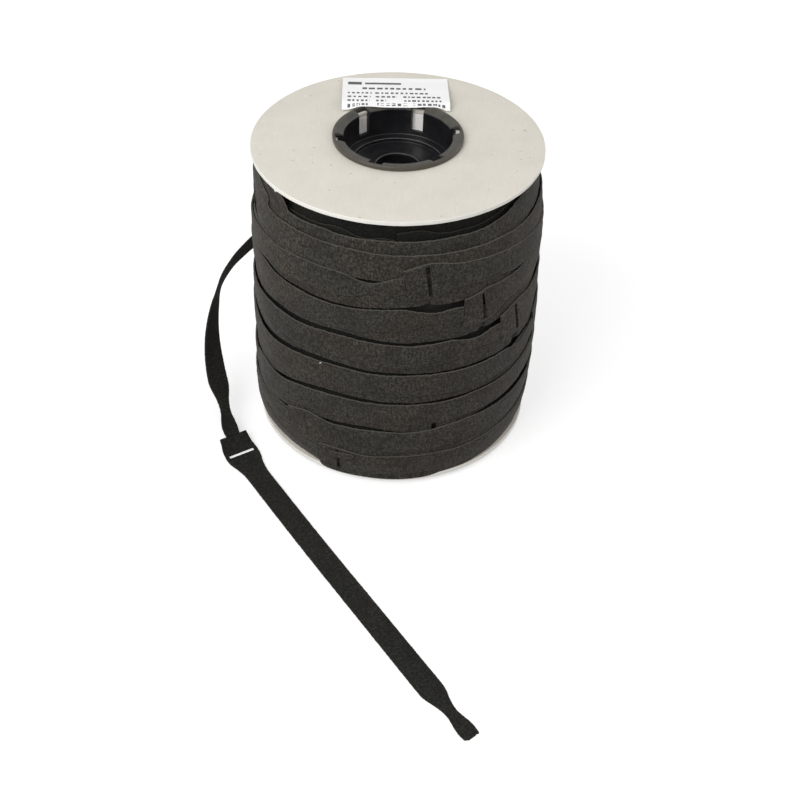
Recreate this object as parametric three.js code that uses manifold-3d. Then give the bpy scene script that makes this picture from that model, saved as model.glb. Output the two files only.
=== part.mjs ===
// A reel of die-cut hook and loop straps: two cardboard flanges on a cardboard core, plastic hubs
// pressed into the core's ends, a paper label, the wound chain of straps, one strap that hangs from
// the roll and one end strap that lies beside it. Millimetres, +Z up, the reel's axis on Z, z = 0 on
// the surface that the reel stands on.
import * as THREE from 'three';
import { mergeVertices } from 'three/addons/utils/BufferGeometryUtils.js';
import Module from 'manifold-3d';

// Clearances
const seatGap = 0.3;          // between pieces that touch on the real reel
const tearGap = 0.4;          // the slit of a torn or torn-through perforation
const turnGap = 0.6;          // between the heads of neighbouring turns
const cutOverrun = 2;         // how far a cutting box runs past what it cuts

// Cardboard reel
const flangeRadius = 94;
const flangeThickness = 2.75;
const flangeBoreClearance = 0.9;
const flangeEdgeRound = 0.5;
const flangeCrown = 2.6;      // how far the upper flange's middle stands above its edge
const coreLength = 203.9;
const coreBoreRadius = 38.1;
const coreWall = 4;

// Plastic hub
const hubLipRadius = 41.9;
const hubLipHeight = 3;
const hubLipBoreRadius = 34.8;
const hubLipFlatRadius = 38.5;
const hubLipDish = 1.5;
const hubLipRound = 0.7;
const hubLipUnderside = 1;
const hubSleeveClearance = 0.4;
const hubSleeveWall = 2.5;
const hubStepDepth = 20;
const hubStepRadius = 31.3;
const hubFloorDepth = 23.2;
const hubFloorThickness = 2.2;
const spindleRadius = 13.8;
const spindleWall = 2.1;
const spindleSleeve = 8;
const spindleRim = 0.5;
const hubSlotCount = 6;
const hubSlotWidth = 8.2;
const hubSlotDepth = 17.5;
const hubNotchDepth = 3.2;
const hubTurn = THREE.MathUtils.degToRad(9.6);

// Paper label
const labelWidth = 71;
const labelHeight = 46.3;
const labelThickness = 0.25;
const labelCentreX = -1.8;
const labelLowerEdge = 37.2;
const labelPastLip = 1.6;     // how far the label goes level past the lip's outside
const labelRise = 7;
const labelTurn = THREE.MathUtils.degToRad(1.4);

// Strap, as die-cut
const strapLength = 300;
const strapHeadWidth = 24;
const strapThickness = 1.2;
const strapCrown = 0.15;
const slotLength = 18.4;
const slotWidth = 2;
const slotDistance = 15;

// Winding
const windingOverhang = 0.5;  // how far the winding's ends stand out past the flanges, on the mean
const windingTaper = 1.1;     // how much more at its foot, and less at its top
const windingBulge = 1.6;
const stepsPerTurn = 24;
const startAngle = THREE.MathUtils.degToRad(-97);
const chainLead = 22;

// End strap on the table
const endStrapGap = 0.9;      // from the hanging strap's end to where the end strap's length begins
const endStrapHeading = THREE.MathUtils.degToRad(-57.38);
const endStrapLift = 4.9;
const endStrapLiftRun = 24;
const endStrapBow = 1.6;
const endStrapSteps = 30;

// Faceting
const discSegments = 72;
const windingSegments = 48;
const windingBands = 12;
const hangingSteps = 52;

// Strap outline: share of the strap's length from the head's edge, share of the head's width.
const strapOutlineShares = [
  [0, 0.85], [0.013, 0.885], [0.027, 0.93], [0.04, 0.975], [0.053, 1], [0.067, 0.99],
  [0.08, 0.93], [0.093, 0.83], [0.107, 0.75], [0.122, 0.69], [0.137, 0.667], [0.852, 0.667],
  [0.863, 0.65], [0.873, 0.6], [0.883, 0.53], [0.893, 0.455], [0.903, 0.39], [0.916, 0.335],
  [0.93, 0.31], [0.942, 0.335], [0.954, 0.39], [0.966, 0.44], [0.978, 0.465], [0.99, 0.46],
  [1, 0.43],
];
// The outline's corners that the wound chain keeps.
const woundOutlineShares = [
  [0, 0.85], [0.053, 1], [0.093, 0.83], [0.137, 0.667], [0.86, 0.66], [0.93, 0.31], [0.978, 0.465],
  [1, 0.43],
];

// Route of the hanging strap from its head on the roll to its torn end, for the middle of the strap:
// degrees round the reel's axis, distance out from the winding's edge, height, and the lean of the
// strap's width out of the upright in degrees.
const hangingRoute = [
  [78.77, 2.00, 157.4, 0], [84.21, 2.00, 153.6, 0], [89.11, 2.05, 150.1, 0],
  [94.01, 2.15, 146.6, 0], [99.01, 2.25, 142.9, 0], [104.01, 2.40, 139.1, 0],
  [108.99, 2.60, 135.1, 0], [114.59, 3.10, 130.3, -3], [120.50, 4.03, 125, -9],
  [127.65, 6.03, 118, -17], [135.00, 9.30, 110.5, -22], [141.57, 14.26, 103.3, -23],
  [147.50, 20.15, 96.1, -23], [152.97, 26.30, 88.6, -26], [158.00, 32.02, 80.4, -28],
  [162.77, 35.85, 71, -22], [167.27, 36.62, 60.4, -3], [171.75, 36.46, 49.7, 18],
  [176.42, 35.15, 39.6, 39], [181.48, 32.94, 30.4, 57], [187.08, 30.45, 22.5, 67],
  [193.17, 28.43, 16.1, 71], [199.48, 28.12, 10.8, 77], [202.81, 28.52, 8.2, 84],
  [205.66, 28.59, 6.2, 90],
];

// Levels of the stack, from the table up
const flangeSeat = hubLipHeight + seatGap;
const flangeTop = flangeSeat + flangeThickness;
const coreSeat = flangeTop + seatGap;
const coreTop = coreSeat + coreLength;
const reelHeight = coreTop + coreSeat;
const labelSeat = reelHeight - flangeSeat + seatGap;
const windingTop = coreTop - flangeCrown;
const windingHeight = windingTop - coreSeat;
const middleHeight = coreSeat + windingHeight / 2;

// Radii that follow from what fits in what
const sleeveRadius = coreBoreRadius - hubSleeveClearance;
const cupRadius = sleeveRadius - hubSleeveWall;
const flangeBoreRadius = sleeveRadius + flangeBoreClearance;
const coreRadius = coreBoreRadius + coreWall;
const windingEdgeRadius = flangeRadius + windingOverhang;
const flangeFlatRadius = coreRadius + seatGap;
const crownSlope = flangeCrown / (flangeRadius - flangeFlatRadius);

// Winding levels
const turnPitch = strapHeadWidth + turnGap;
const firstCentre = coreSeat + strapHeadWidth / 2;
const lastCentre = windingTop - strapHeadWidth / 2;
const turns = (lastCentre - firstCentre) / turnPitch;

const wasm = await Module();
wasm.setup();

// A closed geometry whose faces point out, with only shared positions.
function outward(geometry) {
  const bare = geometry.clone();
  bare.deleteAttribute('normal');
  bare.deleteAttribute('uv');
  const merged = mergeVertices(bare);
  const place = merged.attributes.position;
  const index = merged.index.array;
  const corner = [new THREE.Vector3(), new THREE.Vector3(), new THREE.Vector3()];
  const kept = [];
  let volume = 0;
  for (let i = 0; i < index.length; i += 3) {
    const face = [index[i], index[i + 1], index[i + 2]];
    if (face[0] === face[1] || face[1] === face[2] || face[2] === face[0]) continue;
    corner.forEach((vector, k) => vector.fromBufferAttribute(place, face[k]));
    volume += corner[0].dot(corner[1].clone().cross(corner[2]));
    kept.push(...face);
  }
  if (volume < 0) {
    kept.reverse();
  }
  merged.setIndex(kept);
  merged.computeVertexNormals();
  return merged;
}

function toSolid(geometry) {
  const closed = outward(geometry);
  const vertProperties = new Float32Array(closed.attributes.position.array);
  const triVerts = new Uint32Array(closed.index.array);
  return new wasm.Manifold(new wasm.Mesh({ numProp: 3, vertProperties, triVerts }));
}

function fromSolid(solid) {
  const mesh = solid.getMesh();
  const geometry = new THREE.BufferGeometry();
  geometry.setAttribute('position', new THREE.BufferAttribute(new Float32Array(mesh.vertProperties), 3));
  geometry.setIndex(Array.from(mesh.triVerts));
  geometry.computeVertexNormals();
  return geometry;
}

function cutAway(geometry, cutters) {
  let solid = toSolid(geometry);
  for (const cutter of cutters) {
    solid = solid.subtract(toSolid(cutter));
  }
  return fromSolid(solid);
}

// A ring or disc turned round Z from a closed outline of [radius, height] points.
function turned(outline, segments) {
  const points = outline.map(([radius, height]) => new THREE.Vector2(radius, height));
  points.push(points[0].clone());
  const geometry = new THREE.LatheGeometry(points, segments);
  geometry.rotateX(Math.PI / 2);
  return outward(geometry);
}

function makeMesh(name, geometry, color, roughness) {
  const material = new THREE.MeshStandardMaterial({ color, roughness, metalness: 0 });
  const mesh = new THREE.Mesh(geometry, material);
  mesh.name = name;
  return mesh;
}

// Width of a strap at a distance from its head's edge, from a table of shares.
function widthAt(distance, shares) {
  const share = distance / strapLength;
  for (let i = 1; i < shares.length; i += 1) {
    if (share <= shares[i][0]) {
      const [before, widthBefore] = shares[i - 1];
      const [after, widthAfter] = shares[i];
      const part = (share - before) / (after - before);
      return strapHeadWidth * (widthBefore + (widthAfter - widthBefore) * part);
    }
  }
  return strapHeadWidth * shares[shares.length - 1][1];
}

// A closed ribbon with six sides through stations of middle, across, face and width. Its back is
// flat and its front is crowned.
function ribbon(stations) {
  const positions = [];
  const faces = [];
  const half = strapThickness / 2;
  for (const { middle, across, face, width } of stations) {
    const edge = width / 2;
    const section = [
      [-edge, -half], [edge, -half], [edge, half - strapCrown],
      [edge / 2, half], [-edge / 2, half], [-edge, half - strapCrown],
    ];
    for (const [sideways, out] of section) {
      const point = middle.clone().addScaledVector(across, sideways).addScaledVector(face, out);
      positions.push(point.x, point.y, point.z);
    }
  }
  const sides = 6;
  for (let i = 0; i + 1 < stations.length; i += 1) {
    for (let k = 0; k < sides; k += 1) {
      const a = i * sides + k;
      const b = i * sides + (k + 1) % sides;
      faces.push(a, b, b + sides, a, b + sides, a + sides);
    }
  }
  const last = (stations.length - 1) * sides;
  for (let k = 1; k + 1 < sides; k += 1) {
    faces.push(0, k + 1, k, last, last + k, last + k + 1);
  }
  const geometry = new THREE.BufferGeometry();
  geometry.setAttribute('position', new THREE.Float32BufferAttribute(positions, 3));
  geometry.setIndex(faces);
  return outward(geometry);
}

// Cutter for a strap's slot, across the strap at a place with its own directions.
function slotCutter(middle, along, across, face) {
  const box = new THREE.BoxGeometry(slotWidth, slotLength, strapThickness + cutOverrun);
  const turn = new THREE.Matrix4().makeBasis(along, across, face);
  turn.setPosition(middle);
  return box.applyMatrix4(turn);
}

// A flange, flat where the core and the hub's lip bear on it and falling away by the crown at its edge.
function makeFlange(crown) {
  const inner = flangeBoreRadius;
  const outer = flangeRadius;
  const edgeLow = flangeSeat + crown;
  const edgeHigh = flangeTop + crown;
  const outline = [
    [inner, flangeSeat], [flangeFlatRadius, flangeSeat], [outer - flangeEdgeRound, edgeLow],
    [outer, edgeLow + flangeEdgeRound], [outer, edgeHigh - flangeEdgeRound],
    [outer - flangeEdgeRound, edgeHigh], [flangeFlatRadius, flangeTop], [inner, flangeTop],
  ];
  return turned(outline, discSegments);
}

function makeCore() {
  const outline = [
    [coreBoreRadius, coreSeat], [coreRadius, coreSeat], [coreRadius, coreTop], [coreBoreRadius, coreTop],
  ];
  return turned(outline, discSegments);
}

// The hub stands on its lip: lip, slotted sleeve, stepped floor and a short spindle sleeve.
function makeHub() {
  const floorTop = hubFloorDepth + hubFloorThickness;
  const sleeveEnd = floorTop + spindleSleeve;
  const spindleOuter = spindleRadius + spindleWall;
  const outline = [
    [hubLipBoreRadius, hubLipDish], [hubLipFlatRadius, 0], [hubLipRadius - hubLipRound, 0],
    [hubLipRadius, hubLipRound], [hubLipRadius, hubLipHeight], [sleeveRadius, hubLipHeight],
    [sleeveRadius, floorTop], [spindleOuter, floorTop], [spindleOuter, sleeveEnd],
    [spindleRadius, sleeveEnd], [spindleRadius, hubFloorDepth],
    [spindleRadius + spindleWall / 2, hubFloorDepth - spindleRim], [spindleOuter, hubFloorDepth],
    [hubStepRadius, hubFloorDepth], [hubStepRadius, hubStepDepth], [cupRadius, hubStepDepth],
    [cupRadius, hubLipHeight + hubLipUnderside], [hubLipBoreRadius, hubLipHeight],
  ];
  const cutters = [];
  const notchEnd = hubLipBoreRadius + hubNotchDepth;
  const notchLow = hubLipHeight + hubLipUnderside;
  for (let i = 0; i < hubSlotCount; i += 1) {
    const angle = -hubTurn + (i * 2 * Math.PI) / hubSlotCount;
    const notch = new THREE.BoxGeometry(notchEnd - hubStepRadius, hubSlotWidth, notchLow + cutOverrun);
    notch.translate((notchEnd + hubStepRadius) / 2, 0, (notchLow - cutOverrun) / 2);
    const slotEnd = sleeveRadius + cutOverrun;
    const slotStart = cupRadius - cutOverrun;
    const slot = new THREE.BoxGeometry(slotEnd - slotStart, hubSlotWidth, hubSlotDepth - hubLipHeight);
    slot.translate((slotEnd + slotStart) / 2, 0, (hubSlotDepth + hubLipHeight) / 2);
    cutters.push(notch.rotateZ(angle), slot.rotateZ(angle));
  }
  return cutAway(turned(outline, discSegments), cutters);
}

// The label lies on the upper flange and falls with it, and its lower edge laps up over the hub's lip.
function makeLabel() {
  const lift = hubLipHeight + seatGap;
  const lap = hubLipRadius + labelPastLip - labelLowerEdge;
  const foot = lap + labelRise;
  const footHeight = -crownSlope * (labelLowerEdge + foot - flangeFlatRadius);
  const farHeight = -crownSlope * (labelLowerEdge + labelHeight - flangeFlatRadius);
  const shape = new THREE.Shape();
  shape.moveTo(0, lift);
  shape.lineTo(lap, lift);
  shape.lineTo(foot, footHeight);
  shape.lineTo(labelHeight, farHeight);
  shape.lineTo(labelHeight, farHeight + labelThickness);
  shape.lineTo(foot, footHeight + labelThickness);
  shape.lineTo(lap, lift + labelThickness);
  shape.lineTo(0, lift + labelThickness);
  const geometry = new THREE.ExtrudeGeometry(shape, { depth: labelWidth, bevelEnabled: false });
  geometry.translate(0, 0, -labelWidth / 2);
  const turn = new THREE.Matrix4().makeBasis(
    new THREE.Vector3(0, 1, 0), new THREE.Vector3(0, 0, 1), new THREE.Vector3(1, 0, 0));
  geometry.applyMatrix4(turn);
  geometry.rotateZ(labelTurn);
  return outward(geometry);
}

// Outer radius of the winding: a slight barrel between the flanges, wider at its foot.
function windingRadius(height) {
  const share = (height - middleHeight) / (windingHeight / 2);
  return windingEdgeRadius + windingBulge * (1 - share * share) - windingTaper * share;
}

// How fast that radius grows with height.
function windingSlope(height) {
  const half = windingHeight / 2;
  return (-2 * windingBulge * (height - middleHeight)) / (half * half) - windingTaper / half;
}

// The lower layers, as one plain body under the outer turns.
function makeInnerWindings() {
  const chord = windingEdgeRadius * (1 - Math.cos(Math.PI / stepsPerTurn));
  const below = strapThickness + seatGap + chord;
  const low = coreSeat + seatGap;
  const high = windingTop - seatGap;
  const outline = [[coreRadius + seatGap, high], [coreRadius + seatGap, low]];
  for (let i = 0; i <= windingBands; i += 1) {
    const height = low + ((high - low) * i) / windingBands;
    outline.push([windingRadius(height) - below, height]);
  }
  return turned(outline, windingSegments);
}

// Where the wound chain is, at an angle from its start.
function chainPlace(swept) {
  const angle = startAngle + swept;
  const height = firstCentre + (turnPitch * swept) / (2 * Math.PI);
  const slope = windingSlope(height);
  const out = new THREE.Vector3(Math.cos(angle), Math.sin(angle), 0);
  const radius = windingRadius(height) - strapThickness / 2;
  const middle = out.clone().multiplyScalar(radius);
  middle.z = height;
  const up = new THREE.Vector3(0, 0, 1);
  const across = up.clone().addScaledVector(out, slope).normalize();
  const face = out.clone().addScaledVector(up, -slope).normalize();
  return { middle, face, across };
}

// The outermost layer: one unbroken chain of straps in a rising helix, with its heads, necks and slots.
function makeOuterTurns() {
  const meanRadius = windingEdgeRadius + windingBulge / 2 - strapThickness / 2;
  const sweep = turns * 2 * Math.PI;
  const arcLength = sweep * meanRadius;
  const places = [];
  const steps = Math.floor(turns * stepsPerTurn);
  for (let i = 0; i <= steps; i += 1) {
    places.push((i * arcLength) / steps);
  }
  const heads = [];
  for (let head = chainLead - strapLength; head < arcLength; head += strapLength) {
    heads.push(head);
    for (const [share] of woundOutlineShares) {
      places.push(head + share * (strapLength - tearGap));
    }
  }
  places.sort((a, b) => a - b);
  const stations = [];
  let previous = -Infinity;
  for (const arc of places) {
    if (arc < 0 || arc > arcLength || arc - previous < tearGap / 2) continue;
    previous = arc;
    const distance = (arc - chainLead + 2 * strapLength) % strapLength;
    const width = widthAt(distance, woundOutlineShares);
    stations.push({ ...chainPlace(arc / meanRadius), width });
  }
  const cutters = [];
  for (const head of heads) {
    const arc = head + slotDistance;
    if (arc < slotWidth || arc > arcLength - slotWidth) continue;
    const { middle, face, across } = chainPlace(arc / meanRadius);
    const along = across.clone().cross(face);
    cutters.push(slotCutter(middle, along, across, face));
  }
  reportLeastGap(stations);
  return cutAway(ribbon(stations), cutters);
}

// Prints the least gap between the chain's own turns, measured on points of its edges.
function reportLeastGap(stations) {
  const edges = [];
  stations.forEach(({ middle, across, width }, place) => {
    for (const side of [-1, 1]) {
      const point = middle.clone().addScaledVector(across, (side * width) / 2);
      edges.push({ point, side, place });
    }
  });
  let least = Infinity;
  for (const upper of edges) {
    if (upper.side < 0) continue;
    for (const lower of edges) {
      if (lower.side > 0 || lower.place <= upper.place + stepsPerTurn / 2) continue;
      least = Math.min(least, upper.point.distanceTo(lower.point));
    }
  }
  console.log(`least gap between the outer turns: ${least.toFixed(2)} mm, on points`);
}

// A point of the hanging strap's route.
function routePoint([degrees, beyond, height]) {
  const angle = THREE.MathUtils.degToRad(degrees);
  const radius = windingEdgeRadius + beyond;
  return new THREE.Vector3(radius * Math.cos(angle), radius * Math.sin(angle), height);
}

// The strap that leaves the roll, twists and comes down to the table, with its slot.
function makeHangingStrap() {
  const curve = new THREE.CatmullRomCurve3(hangingRoute.map(routePoint), false, 'centripetal');
  const up = new THREE.Vector3(0, 0, 1);
  const place = (share) => {
    const t = curve.getUtoTmapping(share);
    const middle = curve.getPoint(t);
    const along = curve.getTangent(t);
    const upright = up.clone().addScaledVector(along, -up.dot(along)).normalize();
    const level = along.clone().cross(upright);
    const spot = t * (hangingRoute.length - 1);
    const before = Math.min(Math.floor(spot), hangingRoute.length - 2);
    const lean = THREE.MathUtils.lerp(hangingRoute[before][3], hangingRoute[before + 1][3], spot - before);
    const angle = THREE.MathUtils.degToRad(lean);
    const across = upright.multiplyScalar(Math.cos(angle)).addScaledVector(level, Math.sin(angle));
    return { middle, along, across, face: along.clone().cross(across) };
  };
  const stations = [];
  for (let i = 0; i <= hangingSteps; i += 1) {
    const share = i / hangingSteps;
    stations.push({ ...place(share), width: widthAt(share * strapLength, strapOutlineShares) });
  }
  console.log(`hanging strap: ${curve.getLength().toFixed(1)} mm along its middle`);
  const slot = place(slotDistance / strapLength);
  return cutAway(ribbon(stations), [slotCutter(slot.middle, slot.along, slot.across, slot.face)]);
}

// The end strap lies on the table with its head lifted by the strap it was joined to.
function makeEndStrap() {
  const along = new THREE.Vector3(Math.cos(endStrapHeading), Math.sin(endStrapHeading), 0);
  const side = new THREE.Vector3(-along.y, along.x, 0);
  const up = new THREE.Vector3(0, 0, 1);
  const start = routePoint(hangingRoute[hangingRoute.length - 1]).addScaledVector(along, endStrapGap);
  start.z = strapThickness / 2;
  const place = (distance) => {
    const near = Math.max(0, 1 - distance / endStrapLiftRun);
    const bow = -endStrapBow * Math.sin((Math.PI * distance) / strapLength);
    return start.clone().addScaledVector(along, distance).addScaledVector(side, bow)
      .addScaledVector(up, endStrapLift * near * near);
  };
  const shares = new Set(strapOutlineShares.map(([share]) => share));
  for (let i = 1; i < endStrapSteps; i += 1) {
    shares.add(i / endStrapSteps);
  }
  const stations = [];
  for (const share of [...shares].sort((a, b) => a - b)) {
    const distance = tearGap + share * (strapLength - tearGap);
    const width = widthAt(share * strapLength, strapOutlineShares);
    stations.push({ middle: place(distance), across: side, face: up, width });
  }
  const body = ribbon(stations);
  return cutAway(body, [slotCutter(place(slotDistance), along, side, up)]);
}

const reel = new THREE.Group();
reel.name = 'strap_reel';

const cardboard = 0xdad5cb;
const tubeCard = 0xd8d3c8;
const blackPlastic = 0x2a2a2c;
const labelPaper = 0xf4f4f2;
const strapCloth = 0x3a3936;
const looseCloth = 0x2b2b28;
const cardRough = 0.85;
const plasticRough = 0.45;
const paperRough = 0.6;
const clothRough = 0.95;

reel.add(makeMesh('bottom_flange', makeFlange(0), cardboard, cardRough));
reel.add(makeMesh('core_tube', makeCore(), tubeCard, cardRough));
reel.add(makeMesh('bottom_hub', makeHub(), blackPlastic, plasticRough));

// The upper hub is the lower one turned over, and so is the upper flange but for its crown.
const upperEnd = new THREE.Group();
upperEnd.rotation.x = Math.PI;
upperEnd.position.z = reelHeight;
upperEnd.add(makeMesh('top_flange', makeFlange(flangeCrown), cardboard, cardRough));
upperEnd.add(makeMesh('top_hub', makeHub(), blackPlastic, plasticRough));
reel.add(upperEnd);

const label = makeMesh('label', makeLabel(), labelPaper, paperRough);
label.position.set(labelCentreX, labelLowerEdge, labelSeat);
reel.add(label);

reel.add(makeMesh('inner_windings', makeInnerWindings(), strapCloth, clothRough));
reel.add(makeMesh('outer_turns', makeOuterTurns(), strapCloth, clothRough));
reel.add(makeMesh('hanging_strap', makeHangingStrap(), looseCloth, clothRough));
reel.add(makeMesh('end_strap', makeEndStrap(), looseCloth, clothRough));

export default reel;
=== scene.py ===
import math

import bpy
import numpy as np
from mathutils import Matrix, Vector


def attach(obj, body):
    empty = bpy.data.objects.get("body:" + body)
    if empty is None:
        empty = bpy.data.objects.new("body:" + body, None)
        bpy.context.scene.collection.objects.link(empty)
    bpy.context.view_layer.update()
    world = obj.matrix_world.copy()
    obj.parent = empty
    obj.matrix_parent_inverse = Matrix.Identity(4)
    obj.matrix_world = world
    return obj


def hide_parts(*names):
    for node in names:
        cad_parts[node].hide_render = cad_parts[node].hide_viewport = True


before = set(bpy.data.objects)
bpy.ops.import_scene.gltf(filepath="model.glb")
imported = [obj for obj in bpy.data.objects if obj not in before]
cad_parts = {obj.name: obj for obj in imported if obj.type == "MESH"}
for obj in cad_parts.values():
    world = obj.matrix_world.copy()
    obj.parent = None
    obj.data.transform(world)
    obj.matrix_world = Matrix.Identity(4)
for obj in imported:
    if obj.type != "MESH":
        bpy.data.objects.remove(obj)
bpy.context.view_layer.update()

MM = 0.001


def add_object(name, data):
    made = bpy.data.objects.new(name, data)
    bpy.context.scene.collection.objects.link(made)
    return made


# Camera
PICTURE_WIDTH = 800       # pixels
FOCAL_LENGTH = 1461.14    # pixels
SENSOR_WIDTH = 36         # millimetres
CAMERA_PLACE = (0, -0.81992, 0.68223)


def make_camera():
    yaw, pitch, roll = 0.0073, 0.6971, 0.0287
    ahead = Vector((math.sin(yaw) * math.cos(pitch), math.cos(yaw) * math.cos(pitch), -math.sin(pitch)))
    right = Vector((math.cos(yaw), -math.sin(yaw), 0))
    up = right.cross(ahead)
    turned_right = right * math.cos(roll) + up * math.sin(roll)
    turned_up = up * math.cos(roll) - right * math.sin(roll)
    data = bpy.data.cameras.new("photo_camera")
    data.sensor_width = SENSOR_WIDTH
    data.lens = FOCAL_LENGTH / PICTURE_WIDTH * SENSOR_WIDTH
    data.clip_start = 0.01
    data.clip_end = 50
    camera = add_object("photo_camera", data)
    turn = Matrix((turned_right, turned_up, -ahead)).transposed().to_4x4()
    camera.matrix_world = Matrix.Translation(CAMERA_PLACE) @ turn
    bpy.context.scene.camera = camera


make_camera()


# Sizes, in millimetres
FLANGE_RADIUS = 94
FLANGE_THICKNESS = 2.75
FLANGE_SEAT = 3.3
FLANGE_TOP = FLANGE_SEAT + FLANGE_THICKNESS
FLANGE_CROWN = 2.6
CORE_BORE = 38.1
CORE_WALL = 4
FLANGE_FLAT = CORE_BORE + CORE_WALL + 0.3
CORE_LOW = FLANGE_TOP + 0.3
CORE_HIGH = CORE_LOW + 203.9
REEL_HEIGHT = CORE_HIGH + CORE_LOW
SLEEVE_RADIUS = 37.7
CUP_RADIUS = 35.2
LIP_RADIUS = 41.9
LIP_FLAT = 38.5
LIP_BORE = 34.8
LIP_DISH = 1.5
LIP_HEIGHT = 3
HUB_TURN = math.radians(9.6)
HUB_SLOTS = 6
HUB_SLOT_HALF = 4.1
HUB_NOTCH_HALF = 4.5
HUB_SLOT_END = 17.5
STEP_DEPTH, STEP_RADIUS = 20.6, 29.6
HUB_FLOOR_DEPTH, HUB_FLOOR_UNDERSIDE = 23.2, 25.4
SPINDLE_RADIUS, SPINDLE_OUTSIDE, SPINDLE_END = 13.8, 15.9, 33.4
STRAP_LENGTH = 300
STRAP_WIDTH = 24
STRAP_THICKNESS = 1.2
SLOT_PLACE = 15           # from the end of the strap's head
WINDING_EDGE = FLANGE_RADIUS + 0.5
WINDING_LOW = CORE_LOW + 0.1
WINDING_HIGH = CORE_HIGH - FLANGE_CROWN - 0.2

# share of the strap's length, share of its head's width
OUTLINE = [
    (0, 0.85), (0.013, 0.885), (0.027, 0.93), (0.04, 0.975), (0.053, 1), (0.067, 0.99), (0.08, 0.93),
    (0.093, 0.83), (0.107, 0.75), (0.122, 0.69), (0.137, 0.667), (0.16, 0.664), (0.852, 0.667),
    (0.863, 0.65), (0.873, 0.6), (0.883, 0.53), (0.893, 0.455), (0.903, 0.39), (0.916, 0.335),
    (0.93, 0.31), (0.942, 0.335), (0.954, 0.39), (0.966, 0.44), (0.978, 0.465), (0.99, 0.46), (1, 0.43),
]
# The hanging strap's route, as in part.mjs: degrees round the axis, millimetres out from the
# winding's edge, height, lean in degrees
ROUTE = [
    (78.77, 2.00, 157.4, 0), (84.21, 2.00, 153.6, 0), (89.11, 2.05, 150.1, 0), (94.01, 2.15, 146.6, 0),
    (99.01, 2.25, 142.9, 0), (104.01, 2.40, 139.1, 0), (108.99, 2.60, 135.1, 0),
    (114.59, 3.10, 130.3, -3), (120.50, 4.03, 125, -9), (127.65, 6.03, 118, -17),
    (135.00, 9.30, 110.5, -22), (141.57, 14.26, 103.3, -23), (147.50, 20.15, 96.1, -23),
    (152.97, 26.30, 88.6, -26), (158.00, 32.02, 80.4, -28), (162.77, 35.85, 71, -22),
    (167.27, 36.62, 60.4, -3), (171.75, 36.46, 49.7, 18), (176.42, 35.15, 39.6, 39),
    (181.48, 32.94, 30.4, 57), (187.08, 30.45, 22.5, 67), (193.17, 28.43, 16.1, 71),
    (199.48, 28.12, 10.8, 77), (202.81, 28.52, 8.2, 84), (205.66, 28.59, 6.2, 90),
]


# Small helpers
def srgb(*levels):
    values = [level / 255 for level in levels]
    linear = [v / 12.92 if v <= 0.04045 else ((v + 0.055) / 1.055) ** 2.4 for v in values]
    return (*linear, 1)


def through(points, x):
    """A smooth curve through (x, y) points."""
    xs = np.array([p[0] for p in points], float)
    ys = np.array([p[1] for p in points], float)
    slopes = np.gradient(ys, xs)
    x = np.clip(np.asarray(x, float), xs[0], xs[-1])
    i = np.clip(np.searchsorted(xs, x) - 1, 0, len(xs) - 2)
    span = xs[i + 1] - xs[i]
    t = (x - xs[i]) / span
    return ((2 * t**3 - 3 * t**2 + 1) * ys[i] + (t**3 - 2 * t**2 + t) * span * slopes[i]
            + (-2 * t**3 + 3 * t**2) * ys[i + 1] + (t**3 - t**2) * span * slopes[i + 1])


def waves(x, size, seed, longest):
    """A smooth, repeatable wander of about the given size."""
    phases = np.random.default_rng(seed).uniform(0, 2 * math.pi, 4)
    parts = [np.sin(2 * math.pi * np.asarray(x) / (longest / f) + p) / (1 + 0.6 * n)
             for n, (f, p) in enumerate(zip((1, 1.73, 2.9, 4.7), phases))]
    return size * sum(parts) / 2.2


def mesh_object(name, verts, faces, material, uv=None, edge=None, tone=None, sharp=40):
    """A mesh with its place in its vertices; verts are in millimetres."""
    mesh = bpy.data.meshes.new(name)
    mesh.from_pydata((np.asarray(verts, float) * MM).tolist(), [], faces)
    mesh.validate()
    for label, values in (("edge", edge), ("tone", tone)):
        if values is not None:
            attribute = mesh.attributes.new(label, "FLOAT", "POINT")
            attribute.data.foreach_set("value", np.asarray(values, np.float32))
    if uv is not None:
        layer = mesh.uv_layers.new(name="strap")
        corner = np.empty(len(mesh.loops), np.int32)
        mesh.loops.foreach_get("vertex_index", corner)
        layer.data.foreach_set("uv", (np.asarray(uv, float)[corner]).astype(np.float32).ravel())
    mesh.polygons.foreach_set("use_smooth", [True] * len(mesh.polygons))
    mesh.set_sharp_from_angle(angle=math.radians(sharp))
    mesh.materials.append(material)
    return add_object(name, mesh)


def rounded(outline, radii, steps=4):
    """A closed outline of (radius, height) points with arcs at its corners."""
    made = []
    count = len(outline)
    for i, (here, radius) in enumerate(zip(outline, radii)):
        here = np.array(here, float)
        if radius == 0:
            made.append(here)
            continue
        back = np.array(outline[i - 1], float) - here
        on = np.array(outline[(i + 1) % count], float) - here
        back /= np.linalg.norm(back)
        on /= np.linalg.norm(on)
        start = here + back * radius
        end = here + on * radius
        for k in range(steps + 1):
            t = k / steps
            made.append((1 - t) ** 2 * start + 2 * t * (1 - t) * here + t**2 * end)
    return np.array(made)


def lathe(outline, segments, wobble=None):
    """Vertices and faces of a closed outline turned about Z."""
    count = len(outline)
    angles = np.arange(segments) * 2 * math.pi / segments
    rings = np.empty((segments, count, 3))
    for i, angle in enumerate(angles):
        radius, height = outline[:, 0].copy(), outline[:, 1].copy()
        if wobble is not None:
            radius, height = wobble(angle, radius, height)
        rings[i] = np.stack([radius * math.cos(angle), radius * math.sin(angle), height], -1)
    faces = []
    for i in range(segments):
        j = (i + 1) % segments
        for k in range(count):
            m = (k + 1) % count
            faces.append((i * count + k, j * count + k, j * count + m, i * count + m))
    return rings.reshape(-1, 3), faces


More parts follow.
